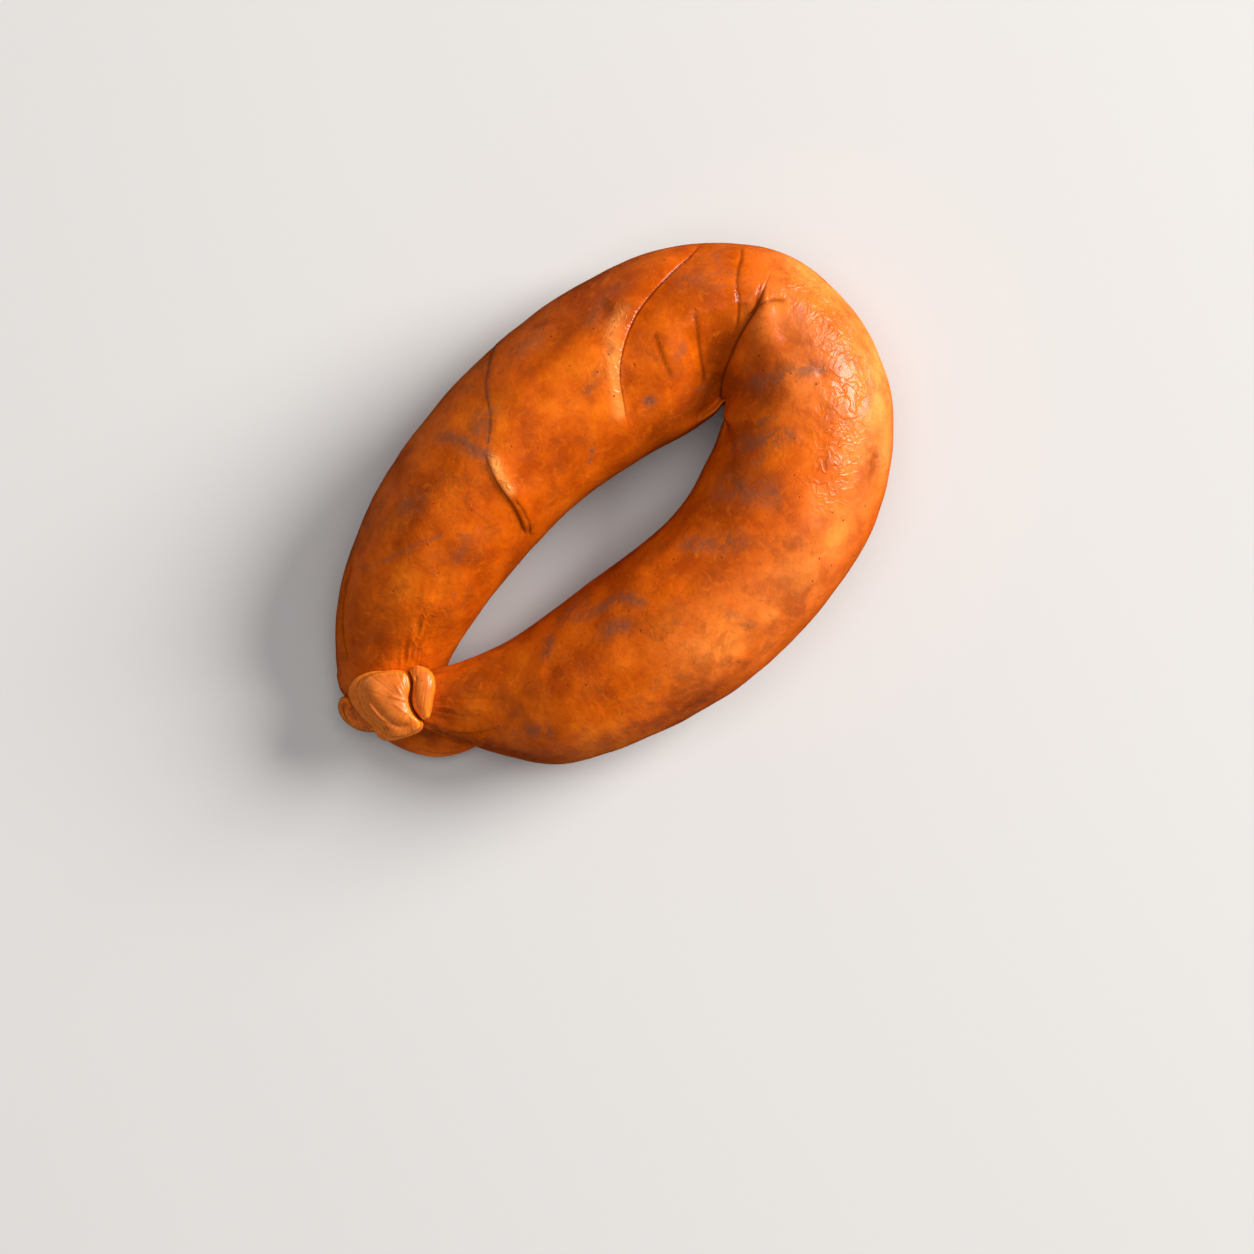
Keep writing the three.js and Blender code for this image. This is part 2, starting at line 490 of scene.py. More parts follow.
    # fine relief: grain, hair-thin wrinkles along the casing, and the pits
    grain = clouds(tree, place, patternSize["grain"], detail=3, distortion=0.2, roughness=0.6)
    ripple = clouds(tree, place, patternSize["ripple"], detail=3, distortion=0.8)
    strength = combine(tree, "MULTIPLY", readAttribute(tree, "drawn"), reliefShare["drawnStreak"])
    strength = combine(tree, "ADD", strength, reliefShare["streak"])
    relief = combine(tree, "MULTIPLY", grain, reliefShare["grain"])
    relief = combine(tree, "ADD", relief, combine(tree, "MULTIPLY", ripple, reliefShare["ripple"]))
    relief = combine(tree, "ADD", relief, combine(tree, "MULTIPLY", streak, strength))
    # meandering hair-thin wrinkles where the casing is slack
    worm = clouds(tree, place, patternSize["worm"], detail=1, distortion=1.0)
    worm = combine(tree, "ABSOLUTE", combine(tree, "SUBTRACT", worm, 0.5))  # 0 along the noise's middle line
    worm = remap(tree, worm, *patternBand["worm"], (1.0, 0.0))
    worm = combine(tree, "MULTIPLY", worm, readAttribute(tree, "wrinkled"))
    relief = combine(tree, "ADD", relief, combine(tree, "MULTIPLY", worm, reliefShare["worm"]))
    relief = combine(tree, "SUBTRACT", relief, combine(tree, "MULTIPLY", pit, reliefShare["pit"]))
    bump = addNode(tree, "ShaderNodeBump", {"Strength": 1.0, "Distance": finish["grain"] * mm},
                   {"Height": relief})
    tree.links.new(bump.outputs["Normal"], skin.inputs["Normal"])
    return material


press = -0.8  # mm, how far the round underside would reach below the surface before its weight flattens it

# plan lines of the main creases: the deep fold where the bend closes, the old crease across the lower arm,
# which shows as a vein where it starts, and the shoulder on the inner side of the bend
foldPath = [(68.6, 17.9), (66.1, 16.7), (63.5, 15.3), (61.3, 14.0), (59.9, 13.1), (57.7, 12.4),
            (55.2, 11.4), (52.7, 10.4), (50.5, 9.2), (47.7, 7.9), (45.6, 6.6), (44.0, 5.3), (42.8, 4.1),
            (41.9, 3.0)]
veinPath = [(11.5, 51.5), (8, 49.5), (4.5, 46.5), (1, 43.5), (-1.5, 40), (-3, 37), (-6, 34), (-9, 31.5)]
waistPath = [(-10.5, 30.5), (-11.5, 27.5), (-12.5, 24.5), (-13, 20.5), (-13.5, 16.5), (-14.5, 13.5),
             (-15.8, 10.8)]
shoulderPath = [(18.5, 12.5), (20, 15), (22.5, 19.5), (25, 23.3), (29, 27), (33, 29.5), (37.5, 31.7),
                (41.5, 32.8), (45.4, 33.4), (49.5, 33.8), (54.3, 34.3), (58.2, 34.5), (62.7, 34.7)]

body = {
    "around": 170,  # points round the casing
    "rings": 580,  # rings of points along it
    "crownward": 0.45,  # how much closer together the points lie on the upper side
    # inner edge x, y, outer edge x, y, underside z, crown z, from the end under the knot to the end over it
    "stations": [
        (-63.0, -20.5, -63.5, -21.5, 3.5, 4.5),
        (-61.5, -12.0, -73.5, -16.5, 0.6, 8.6),
        (-59.5, -4.5, -79.5, -4.0, press, 11.0),
        (-55.5, -2.0, -79.0, 10.5, press, 17.5),
        (-46.5, 0.5, -63.5, 28.0, press, 27.5),
        (-30.5, 3.5, -38.5, 40.5, press, 35.0),
        (-7.0, 5.0, -7.5, 46.5, press, 39.0),
        (15.0, 2.5, 24.5, 45.0, press, 40.0),
        (26.5, -0.5, 47.0, 38.5, press, 40.0),
        (33.0, -1.0, 63.5, 26.5, press, 39.0),
        (35.5, -0.5, 71.5, 15.5, press, 38.0),
        (36.5, -1.0, 74.0, 1.5, press, 38.0),
        (35.5, -2.0, 72.5, -12.0, press, 38.5),
        (32.0, -3.5, 63.0, -31.0, press, 39.5),
        (25.0, -7.0, 45.0, -45.0, press, 40.0),
        (9.5, -12.0, 15.0, -53.5, press, 40.0),
        (-12.0, -11.0, -17.5, -51.5, press, 38.5),
        (-34.0, -9.0, -48.5, -40.0, press, 32.0),
        (-43.5, -7.0, -59.0, -29.0, 1.0, 26.0),
        (-52.0, -4.0, -64.5, -20.0, 5.5, 22.5),
        (-58.0, -1.5, -68.0, -13.5, 10.0, 20.3),
        (-62.5, -1.0, -69.5, -8.5, 12.0, 19.0),
        (-67.0, -3.0, -67.5, -3.5, 15.0, 16.0),
    ],
    # rings that bend to run along the main creases: place along the casing, and the line they follow
    "guides": [(88, veinPath + waistPath), (130, shoulderPath), (157, foldPath)],
    # stretches with finer rings: middle, reach, how many times more rings
    "finer": [(88, 3, 2.0), (130, 3, 2.2), (157, 4, 2.2), (166, 28, 0.7)],
    "lumps": [(0.5, 26), (0.28, 11), (0.1, 5)],  # height and size
    # pleats where each end is drawn together: they start at "start" and die away over "reach"
    "pleats": {"count": 11, "height": 0.4, "start": 3, "reach": 9, "sway": 3, "swaySize": 8, "streaks": 16},
    # the fold: the skin left of travel rolls over the skin right of it. Those with no unit are in depths
    "fold": {
        "path": foldPath,
        "reach": 22,  # mm to each side that it is worked over
        "start": 0.2,  # mm deep where it starts
        "deepen": 8.0,  # mm deeper further in
        "deepens": (0.1, 0.62),  # between these shares of its length
        "fades": (0.87, 1.0),
        "upper": (-0.5, 0.35),  # how far up the skin faces where it comes in; the underside stays as it is
        "roll": 1.2,  # radius of the roll
        "hang": 0.15,  # how far the roll hangs over
        "hollow": 2.1,  # how far out the skin below it starts to sink
        "swell": 0.13,  # height of the swelling behind the roll
        "swellAt": 1.3,
        "line": 0.6,  # mm wide, its line of painted shade
        "lineFades": (0.0, 0.3),
        "settle": 1.5,  # how far out the folded skin is smoothed
        "settleFrom": 0.35,  # share of its length
        "settleTimes": 3,
    },
    # what all the creases share: the parts of their length over which they come and go, how far the lip
    # leans, how much wider than the groove the line of painted shade is, and how far the moist look reaches
    "creaseForm": {"reach": 14, "comes": (0, 0.14), "goes": (0.84, 1), "lean": 0.45,
                   "leanFrom": (-0.05, 0.35), "stain": 1.3, "moist": 2.0},
    # creases pressed into the casing. Left of travel is a lip that rolls down into the crease over "roll" and
    # dies away over "lipReach"; right of travel the skin is lower by "drop", back to level over "dropReach"
    "creases": [
        {"path": shoulderPath, "lip": 0.3, "roll": 3.4, "lipReach": 6.0, "drop": 1.15, "dropReach": 6.5,
         "groove": 0.25, "width": 0.32, "creaseShade": 1.0},
        {"path": waistPath, "lip": 0.7, "roll": 0.9, "lipReach": 2.8, "drop": 0.1, "dropReach": 3.0,
         "groove": 0.08, "width": 0.3, "creaseShade": 0.45},
        {"path": veinPath + waistPath[:1], "lip": 0.06, "roll": 2.0, "lipReach": 3.5, "drop": 0.1,
         "dropReach": 3.5, "groove": 0.04, "width": 0.5, "creaseShade": 0.0},
        {"path": [(-12.0, 19.5), (-12.3, 16), (-13.4, 12.6), (-15.2, 9.6)], "lip": 0.12, "roll": 0.6,
         "lipReach": 1.5, "drop": 0.05, "dropReach": 1.5, "groove": 0.08, "width": 0.3, "creaseShade": 0.3},
        {"path": [(53.1, 11.7), (54.7, 13.5), (56.6, 16), (58.8, 19), (60.8, 21.4), (63.3, 23.5),
         (66.1, 25.3), (68.8, 27.9)], "lip": 0.12, "roll": 1.6, "lipReach": 3.0, "drop": 0.3,
         "dropReach": 3.0, "groove": 0.25, "width": 0.36, "creaseShade": 1.0},
        {"path": [(40.7, 8.3), (42, 11), (43.4, 13.9), (45.4, 17.5), (47.1, 20.3), (48.9, 23.5)],
         "lip": 0.05, "roll": 2.0, "lipReach": 3.5, "drop": 0.28, "dropReach": 3.5, "groove": 0.25,
         "width": 0.42, "creaseShade": 1.0},
        {"path": [(34.4, 14), (35.1, 17.2), (36.4, 20.8), (37.6, 23.5), (38.7, 26.3)], "lip": 0.0,
         "roll": 1.6, "lipReach": 2.5, "drop": 0.14, "dropReach": 2.5, "groove": 0.2, "width": 0.4,
         "creaseShade": 0.9},
        {"path": [(59.9, 13.1), (62.1, 13.1), (64.4, 12.1), (66.6, 10.3)], "lip": 0.05, "roll": 1.4,
         "lipReach": 2.5, "drop": 0.2, "dropReach": 2.5, "groove": 0.2, "width": 0.4, "creaseShade": 0.7},
        {"path": [(57.7, 13), (60.2, 13.9), (62.4, 15.7), (64.6, 17.5)], "lip": 0.2, "roll": 1.2,
         "lipReach": 2.0, "drop": 0.15, "dropReach": 2.0, "groove": 0.22, "width": 0.34, "creaseShade": 0.8},
        {"path": [(-72.4, 18.1), (-73.5, 16.6), (-74.3, 14.8), (-74.5, 13.2)], "lip": 0.25, "roll": 0.9,
         "lipReach": 2.0, "drop": 0.3, "dropReach": 2.0, "groove": 0.3, "width": 0.5, "creaseShade": 0.7},
        {"path": [(-50.5, 34.0), (-58.5, 28.8), (-64.9, 22.3), (-68.4, 16.5)], "lip": 0.1, "roll": 1.5,
         "lipReach": 3.0, "drop": 0.2, "dropReach": 3.0, "groove": 0.15, "width": 0.6, "creaseShade": 0.35},
        {"path": [(-64.0, -7.2), (-61.7, -10.8), (-59.3, -15.4), (-56.2, -20.0)], "lip": 0.25, "roll": 0.8,
         "lipReach": 2.0, "drop": 0.3, "dropReach": 2.0, "groove": 0.25, "width": 0.4, "creaseShade": 0.6},
        {"path": [(-60.9, -10.5), (-56.8, -15.0), (-50.5, -19.0)], "lip": 0.1, "roll": 1.4, "lipReach": 2.5,
         "drop": 0.15, "dropReach": 2.5, "groove": 0.08, "width": 0.5, "creaseShade": 0.2},
    ],
    "wrinkleForm": {"sway": 0.5, "swaySize": 5, "level": 0.5, "sharpness": 2.4},
    # finely wrinkled patches: plan path, half width, depth, and how long and how far apart the wrinkles run
    "wrinkles": [
        {"path": [(75, 5.5), (74, -5), (68.5, -15), (58.5, -24), (47, -32.5)], "width": 5.5, "depth": 0.17,
         "long": 6.0, "apart": 1.9},
        {"path": [(74, 14), (71.2, 9.4), (70.8, 0.1), (65.1, -10.9), (54.9, -21.2)], "width": 4.5,
         "depth": 0.13, "long": 4.0, "apart": 1.7},
        {"path": [(-43, 14), (-47.4, 11.2), (-56.5, 6.9)], "width": 4.0, "depth": 0.36, "long": 8.0,
         "apart": 2.2},
        {"path": [(35.5, 41.5), (30.8, 32.8), (22.5, 24.2)], "width": 4.0, "depth": 0.14, "long": 3.0,
         "apart": 1.8},
        {"path": [(-52, -9), (-58, -7)], "width": 4.0, "depth": 0.2, "long": 9.0, "apart": 2.2},
        {"path": [(20, -40), (0, -44), (-20, -40)], "width": 7.0, "depth": 0.2, "long": 8.0, "apart": 3.0},
    ],
    # small dents: plan place, reach and depth
    "dents": [
        (74.0, 3.6, 1.5, 0.4), (61.0, -7.9, 1.4, 0.4), (63.8, -19.2, 1.6, 0.45), (55.2, -13.3, 1.3, 0.35),
        (48.2, -16.1, 1.4, 0.35), (33.5, 38.0, 3.0, 0.5), (4.0, -24.0, 2.0, 0.35), (-33.0, -17.0, 2.2, 0.4),
        (-22.0, 18.0, 2.0, 0.3), (8.0, 33.0, 2.6, 0.35), (60.0, 4.0, 2.2, 0.4),
    ],
    # soft strokes: plan path, half width and strength. First where the skin is glossiest
    "moist": [
        {"path": [(-47.4, 11.2), (-56.5, 6.9)], "width": 4.0, "strength": 1.0},
        {"path": [(74, 12), (73, -2), (66, -13), (54, -23)], "width": 7.0, "strength": 0.5},
    ],
    # painted highlight on thinned casing round the outside of the bend, and on the lips of the main creases
    "stretchedAndLit": [
        {"path": [(77, 12), (78.5, 2), (76, -9), (70, -19), (60, -29)], "width": 9.0, "strength": 0.62},
        {"path": [(60, -29), (44, -36), (24, -40), (-4, -38)], "width": 8.0, "strength": 0.34},
        {"path": [(63, 9), (62, 0), (56, -10)], "width": 8.0, "strength": 0.26},
        # these two are painted highlight on the crease lips
        {"path": [(36, 34.6), (31.6, 33), (28.6, 29.6), (26.1, 26.1), (22.4, 21.4), (19.6, 17)],
         "width": 1.7, "strength": 0.55},
        {"path": [(-9.8, 28.3), (-11, 24.8), (-11.6, 20.8)], "width": 1.2, "strength": 0.8},
    ],
    # smoke patches and painted shade, deepest in the bend beside the fold and where the arms meet the knot
    "smoked": [
        # the first three strokes are painted shade, the first also smoke: by the over-arm's end, under the
        # knot, in the fold's shadow
        {"path": [(-47, -6), (-53, -5), (-58, -7)], "width": 5.0, "strength": 0.8},
        {"path": [(-61, -8.5), (-65, -9.5)], "width": 3.0, "strength": 0.9},
        {"path": [(24, 8), (32, 7), (39, 8), (44, 11), (49, 13.5)], "width": 4.5, "strength": 0.85},
        {"path": [(50, 24), (52, 28)], "width": 6.0, "strength": 0.3},
        {"path": [(3, 37), (-2, 41)], "width": 5.0, "strength": 0.45},
        {"path": [(-57, 25), (-62, 17), (-66, 10)], "width": 5.0, "strength": 0.5},
        {"path": [(12, -26), (6, -29)], "width": 5.0, "strength": 0.35},
        {"path": [(-48, 13), (-44, 7)], "width": 3.0, "strength": 0.35},
        {"path": [(38, -6), (30, -12), (24, -17)], "width": 6.0, "strength": 0.25},
    ],
    # where it is finely wrinkled
    "wrinkled": [
        {"path": [(73, 12), (72.5, 0), (66, -12), (56, -21), (46, -28)], "width": 6.5, "strength": 1.0},
        {"path": [(72, 20), (66, 30)], "width": 4.0, "strength": 0.4},
        {"path": [(36, 34.6), (28.6, 29.6), (22.4, 21.4)], "width": 2.4, "strength": 0.7},
        {"path": [(-9.6, 28.3), (-10.8, 24.8), (-11.4, 20.8)], "width": 1.6, "strength": 1.0},
        {"path": [(-46, 12), (-57, 7)], "width": 4.0, "strength": 0.6},
    ],
    # grey-purple smudges and veins
    "smudgeAndGlow": [
        {"path": [(12, 51), (8, 49), (4, 46), (1, 43), (-1.5, 40), (-3, 37), (-6, 34), (-9.5, 31)],
         "width": 1.0, "strength": 0.9},
        {"path": [(-3, 37), (-5, 38), (-8, 36)], "width": 2.2, "strength": 0.7},
        {"path": [(-10.5, 30.5), (-11.5, 33), (-12, 36), (-13.5, 39), (-15, 41.5)], "width": 1.7,
         "strength": 1.0},
        {"path": [(49, 0), (53, -2), (57.5, -4), (62, -7)], "width": 1.6, "strength": 0.9},
        {"path": [(35.5, -7), (40.5, -10.5), (45.5, -13.5)], "width": 1.9, "strength": 0.9},
        {"path": [(26, -12), (29.5, -17), (33, -21)], "width": 3.4, "strength": 0.7},
        {"path": [(11, -17), (15, -20), (20, -24)], "width": 2.4, "strength": 0.8},
        {"path": [(-6.5, -19.5), (-9, -15), (-14.5, -14), (-20, -11.5)], "width": 1.4, "strength": 0.9},
        {"path": [(-28, -11), (-31, -13)], "width": 1.6, "strength": 1.0},
        {"path": [(-16, -19), (-13, -21)], "width": 1.8, "strength": 0.9},
        {"path": [(-46, -24), (-43, -27)], "width": 1.7, "strength": 0.9},
        {"path": [(-29, 33), (-32, 34.5)], "width": 2.0, "strength": 0.8},
        {"path": [(13, 44), (17, 43)], "width": 2.6, "strength": 0.55},
        {"path": [(40, 39), (35, 40), (30, 38)], "width": 2.4, "strength": 0.45},
        {"path": [(52, 30), (57, 26)], "width": 2.6, "strength": 0.5},
        {"path": [(-16.4, 2.6), (-25.4, 2.7), (-32.1, 2.3), (-40.5, 0.2)], "width": 0.6, "strength": 0.9},
        {"path": [(-50.7, 31.9), (-45.4, 28.8), (-39.4, 26.6), (-34.2, 25.1), (-30.7, 23.6)], "width": 0.6,
         "strength": 0.6},
        {"path": [(26.3, 14.4), (27.2, 13.9)], "width": 1.1, "strength": 1.6},
        {"path": [(8.7, 14.9), (8.9, 14.6)], "width": 0.5, "strength": 1.8},
        {"path": [(7.1, 13.5), (7.3, 13.2)], "width": 0.5, "strength": 1.8},
    ],
}
tip = 1e-3  # mm, nearer than this to an end the casing has closed to a point
tail = 2.5  # half widths after which a soft stroke has died away


def casingLines(stations):  # the casing's inner and outer edge, and the run along its middle
    fine = 2500
    inner = smoothCurve([(s[0], s[1], s[4]) for s in stations], fine)
    outer = smoothCurve([(s[2], s[3], s[5]) for s in stations], fine)
    middle = (inner + outer) / 2
    run = np.concatenate([[0], np.cumsum(np.linalg.norm(np.diff(middle, axis=0), axis=1))])
    return {"inner": inner, "outer": outer, "run": run}


def onCasing(lines, at, turn):  # the place at mm along the casing, turned round it from its inner edge
    a = np.stack([np.interp(at, lines["run"], lines["inner"][:, k]) for k in range(3)], 1)
    b = np.stack([np.interp(at, lines["run"], lines["outer"][:, k]) for k in range(3)], 1)
    wide = ((at > tip) & (at < lines["run"][-1] - tip))[:, None]
    places = (a + b) / 2
    places[:, :2] += np.cos(turn)[:, None] * (a - b)[:, :2] / 2 * wide
    places[:, 2] += np.sin(turn) * (b - a)[:, 2] / 2 * wide[:, 0]
    return places


def findOnCasing(lines, path):  # along and round the casing, for plan points on its upper side
    a, b = lines["inner"], lines["outer"]
    across = (b - a)[:, :2]
    alike = 0.15  # mm, stations that miss the point by no more than this can all hold it
    found = []
    for spot in path:
        t = np.clip(((spot - a[:, :2]) * across).sum(1) / (across**2).sum(1), 0, 1)
        off = np.linalg.norm(a[:, :2] + t[:, None] * across - spot, axis=1)
        crown = np.where(off < off.min() + alike, b[:, 2], -np.inf)  # the higher arm where two cross
        i = np.argmax(crown)
        found.append((lines["run"][i], math.acos(1 - 2 * t[i])))
    return np.array(found).T


def layOn(lines, path, count=60, rounds=6):  # lifts a plan path on to the casing, without kinks
    found = findOnCasing(lines, smoothCurve(path, count))
    for _ in range(rounds):
        found[:, 1:-1] = (found[:, :-2] + 2 * found[:, 1:-1] + found[:, 2:]) / 4
    return onCasing(lines, *found)


def ringPlaces(length, rings):  # where the rings lie, closer together in the finer stretches
    at = np.linspace(0, length, 4000)
    density = 1 + sum(more * np.exp(-(((at - middle) / reach) ** 2)) for middle, reach, more in body["finer"])
    share = np.cumsum(density) - density[0]
    return np.interp(np.linspace(0, 1, rings + 1), share / share[-1], at)


def followGuides(lines, at, turn, rings):  # bends the rings so that one lies in each main crease
    around = turn % (2 * math.pi)
    bent = at.copy()
    stops = [rings[np.argmin(abs(rings - place))] for place, _ in body["guides"]]
    ends = [0, *stops, lines["run"][-1]]
    for i, (_, path) in enumerate(body["guides"]):
        places, turns = findOnCasing(lines, smoothCurve(path, count=80))
        order = np.argsort(turns)
        places, turns = places[order] - stops[i], turns[order]
        gap = 2 * math.pi - (turns[-1] - turns[0])
        shift = places[0] * (1 - ease((turns[0] - around) % (2 * math.pi), 0, gap))
        shift += places[-1] * (1 - ease((around - turns[-1]) % (2 * math.pi), 0, gap))
        inside = (around >= turns[0]) & (around <= turns[-1])
        shift = np.where(inside, np.interp(around, turns, places), shift)
        bent += shift * np.interp(at, ends[i : i + 3], [0, 1, 0])
    return bent


def drawOutSphere(lines):  # a sphere whose poles become the two ends of the casing
    bm = bmesh.new()
    bmesh.ops.create_uvsphere(bm, u_segments=body["around"], v_segments=body["rings"], radius=1)
    start = np.array([v.co for v in bm.verts])
    ring = np.rint(np.arccos(np.clip(start[:, 2], -1, 1)) / math.pi * body["rings"]).astype(int)
    turn = np.arctan2(start[:, 1], start[:, 0])
    turn = turn + body["crownward"] * np.cos(turn)
    rings = ringPlaces(lines["run"][-1], body["rings"])
    return bm, followGuides(lines, rings[ring], turn, rings), turn


def shapeBody():
    lines = casingLines(body["stations"])
    low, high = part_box("sausage_body")
    middle = (np.array(low) + np.array(high)) / 2 / mm
    run = lines["run"]
    edges = np.vstack([onCasing(lines, run, np.full(len(run), turn)) for turn in (0, math.pi)])
    shift = middle[:2] - (edges.min(0) + edges.max(0))[:2] / 2
    lines["inner"][:, :2] += shift
    lines["outer"][:, :2] += shift
    bm, at, turn = drawOutSphere(lines)
    mesh = bpy.data.meshes.new("sausage_body_skin")
    for vert, place in zip(bm.verts, onCasing(lines, at, turn)):
        vert.co = place
    bm.normal_update()
    bmesh.ops.recalc_face_normals(bm, faces=bm.faces)
    bm.to_mesh(mesh)
    bm.free()
    return mesh, lines, at, turn


def foldBend(co, facing, lines):  # the right limb rolls over the left one, deeper towards the inner side
    fold = body["fold"]
    path = layOn(lines, fold["path"])
    near = closeTo(co, path, fold["reach"])
    gap, side, share, left = alongPath(co[near], path)
    depth = fold["start"] + fold["deepen"] * ease(share, *fold["deepens"])
    upper = ease(facing[near, 2], *fold["upper"]) * (1 - ease(share, *fold["fades"]))
    over = side > 0
    roll, hang = fold["roll"] * depth, fold["hang"] * depth
    arc = np.clip(1 - gap / roll, 0, 1) * math.pi / 2
    slide = np.where(over, (roll + hang) * np.sin(arc) - roll + np.minimum(gap, roll),
                     hang * np.exp(-((gap / depth) ** 2)))
    sink = depth * np.where(over, 1 - np.cos(arc), 1 - ease(gap, 0, fold["hollow"] * depth))
    swell = fold["swell"] * depth * np.exp(-((gap / depth - fold["swellAt"]) ** 2)) * over
    move = np.zeros_like(co)
    move[near] = (-left * slide[:, None] + np.array([0, 0, 1]) * (swell - sink)[:, None]) * upper[:, None]
    line = np.zeros(len(co))
    line[near] = np.exp(-((gap / fold["line"]) ** 2)) * ease(share, *fold["lineFades"]) * upper
    folded = np.zeros(len(co), bool)
    folded[near] = (gap < fold["settle"] * depth) & (share > fold["settleFrom"])
    return move, line, folded


def pressCrease(co, facing, lines, crease):
    form = body["creaseForm"]
    path = layOn(lines, crease["path"])
    near = closeTo(co, path, form["reach"])
    gap, side, share, left = alongPath(co[near], path)
    fade = ease(share, *form["comes"]) * (1 - ease(share, *form["goes"]))
    rolled = np.sqrt(1 - (1 - np.clip(gap / crease["roll"], 0, 1)) ** 2)
    beyond = np.maximum(gap - crease["roll"], 0)
    lip = crease["lip"] * np.exp(-((beyond / crease["lipReach"]) ** 2))
    onLip = (crease["drop"] + lip) * rolled - crease["drop"]
    below = -crease["drop"] * np.exp(-((gap / crease["dropReach"]) ** 2))
    line = np.exp(-((gap / crease["width"]) ** 2))
    lift = np.where(side > 0, onLip, below) - crease["groove"] * line
    lean = form["lean"] * (crease["drop"] + crease["lip"]) * np.exp(-((gap / crease["roll"]) ** 2))
    lean *= ease(gap * side, *form["leanFrom"])
    move = np.zeros_like(co)
    move[near] = (facing[near] * lift[:, None] - left * lean[:, None]) * fade[:, None]
    creaseShade, moist = np.zeros(len(co)), np.zeros(len(co))
    creaseShade[near] = np.exp(-((gap / (form["stain"] * crease["width"])) ** 2)) * fade * crease["creaseShade"]
    moist[near] = np.exp(-((gap / form["moist"]) ** 2)) * fade
    return move, creaseShade, moist


def wrinkleSkin(co, lines, at, turn, patch, seed):
    form = body["wrinkleForm"]
    path = layOn(lines, patch["path"], count=24)
    near = closeTo(co, path, tail * patch["width"])
    gap = alongPath(co[near], path)[0]
    sway = form["sway"] * field(co[near], form["swaySize"], seed)
    lengthwise = at[near] / patch["long"] + sway
    crosswise = turn[near] * meanRadius / patch["apart"] + 2 * sway
    rows = np.stack([lengthwise, crosswise, np.zeros(len(near))], 1)
    ridges = form["level"] - form["sharpness"] * abs(field(rows, 1.0, seed + 1))
    lift = np.zeros(len(co))
    lift[near] = patch["depth"] * ridges * np.exp(-((gap / patch["width"]) ** 2))
    return lift


def brushed(co, lines, strokes):  # how strongly each point is touched by soft strokes along plan paths
    amount = np.zeros(len(co))
    for stroke in strokes:
        path = layOn(lines, stroke["path"], count=20)
        near = closeTo(co, path, tail * stroke["width"])
        gap = alongPath(co[near], path)[0]
        touch = stroke["strength"] * np.exp(-((gap / stroke["width"]) ** 2))
        amount[near] = np.maximum(amount[near], touch)
    return amount


def easeFold(mesh, region, times):  # lets the folded skin settle
    bm = bmesh.new()
    bm.from_mesh(mesh)
    bm.verts.ensure_lookup_table()
    chosen = [bm.verts[i] for i in np.nonzero(region)[0]]
    for _ in range(times):
        bmesh.ops.smooth_vert(bm, verts=chosen, factor=0.5,
                              use_axis_x=True, use_axis_y=True, use_axis_z=True)
    bm.to_mesh(mesh)
    bm.free()


def dentSkin(co, lines):
    lift = np.zeros(len(co))
    for x, y, reach, depth in body["dents"]:
        spot = layOn(lines, [(x, y), (x + 0.1, y)], count=2)[0]  # the start of a very short path
        lift -= depth * np.exp(-(((co - spot) ** 2).sum(1) / reach**2))
    return lift


def pleatEnds(co, at, turn, length):  # where each end is drawn together
    pleats = body["pleats"]
    pull = sum(np.exp(-run / pleats["reach"]) * ease(run, 0, pleats["start"]) for run in (at, length - at))
    sway = pleats["sway"] * field(co, pleats["swaySize"], 4)
    return pleats["height"] * pull * np.sin(pleats["count"] * turn + sway)


def makeBody(material):
    mesh, lines, at, turn = shapeBody()
    length = lines["run"][-1]
    co, facing = coordinates(mesh), normals(mesh)
    lift = sum(height * field(co, size, seed) for seed, (height, size) in enumerate(body["lumps"], 1))
    for seed, patch in enumerate(body["wrinkles"], 10):
        lift += wrinkleSkin(co, lines, at, turn, patch, seed)
    lift += dentSkin(co, lines) + pleatEnds(co, at, turn, length)
    move = facing * lift[:, None]
    creaseShade, moist = np.zeros(len(co)), np.zeros(len(co))
    for crease in body["creases"]:
        pressed, line, wet = pressCrease(co, facing, lines, crease)
        move += pressed
        creaseShade, moist = np.maximum(creaseShade, line), np.maximum(moist, wet)
    folding, line, folded = foldBend(co, facing, lines)
    placed = co + move + folding
    placed[:, 2] = np.maximum(placed[:, 2], 0)  # flat where it lies
    moveTo(mesh, placed * mm)
    easeFold(mesh, folded, body["fold"]["settleTimes"])
    print("casing shaped and creased")
    # painted shade along the creases and the fold
    setAttribute(mesh, "crease", np.maximum(creaseShade, line))
    setAttribute(mesh, "moist", np.maximum(moist, brushed(co, lines, body["moist"])))
    for name in ("stretchedAndLit", "smoked", "wrinkled", "smudgeAndGlow"):
        setAttribute(mesh, name, brushed(co, lines, body[name]))
    streaks = body["pleats"]["streaks"]
    setAttribute(mesh, "drawn", np.clip(np.exp(-at / streaks) + np.exp(-(length - at) / streaks), 0, 1))
    fromCrown = (turn + math.pi / 2) % (2 * math.pi) - math.pi
    setStrand(mesh, at, fromCrown)
    finishPiece(mesh, "sausage_body_skin", "sausage_body", material)


